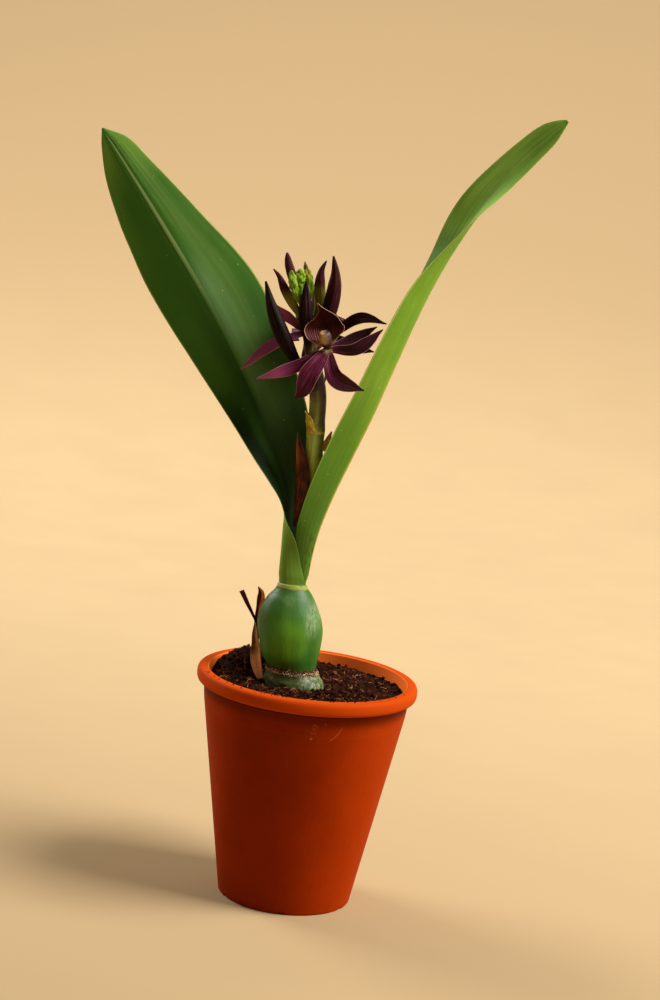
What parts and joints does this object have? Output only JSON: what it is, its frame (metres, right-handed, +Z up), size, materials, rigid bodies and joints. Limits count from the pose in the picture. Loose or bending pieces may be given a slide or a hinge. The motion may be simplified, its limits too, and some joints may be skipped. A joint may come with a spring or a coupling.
{
  "type": "potted guarechea orchid",
  "caption": "Potted orchid with one pseudobulb, two long leaves and a flower stem carrying dark maroon blooms and buds, in a plain round terracotta-coloured pot.",
  "frame": {"origin": "centre of the pot's underside, on the surface that the pot stands on", "axes": "+Z up out of the pot, -Y the way the open front bloom faces, +X to the right seen from there"},
  "size_m": [0.2442, 0.1198, 0.4341],
  "materials": {
    "pot": "matt terracotta-coloured plastic with faint scuffs",
    "mix": "dark fibrous bark and coir mix",
    "pseudobulb": "smooth waxy green skin",
    "leaf": "leathery, softly glossy green",
    "stem": "smooth olive green, purple-brown above",
    "dry_sheath": "dry papery brown",
    "petal": "satin waxy maroon",
    "lip": "waxy near-black maroon with pale rays",
    "column": "waxy cream to orange",
    "bud": "satin waxy near-black purple",
    "green_bud": "satin waxy yellow-green"
  },
  "bodies": {
    "root": {"pot": "pot", "potting_mix": "mix", "pseudobulb": "pseudobulb", "torn_sheath_ring": "dry_sheath", "leaf_left": "leaf", "leaf_right": "leaf", "flower_stem": "stem", "spathe": "dry_sheath", "node_bract_yellow": "dry_sheath", "node_bract_brown": "dry_sheath", "dead_sheath_strip": "dry_sheath", "dead_sheath_orange": "dry_sheath", "dead_sheath_base": "dry_sheath", "bloom_front_tepals": "petal", "bloom_front_lip": "lip", "bloom_front_column": "column", "bloom_left_tepals": "petal", "bloom_left_lip": "lip", "bloom_left_column": "column", "bloom_right_tepals": "petal", "bloom_right_lip": "lip", "bloom_right_column": "column", "bud_top_left": "bud", "bud_hooked_left": "bud", "bud_green_left": "green_bud", "bud_green_middle": "green_bud", "bud_olive": "green_bud", "bud_front": "bud", "bud_hooked_right": "bud", "bud_top_right": "bud", "bud_large_left": "bud"}
  },
  "joints": []
}
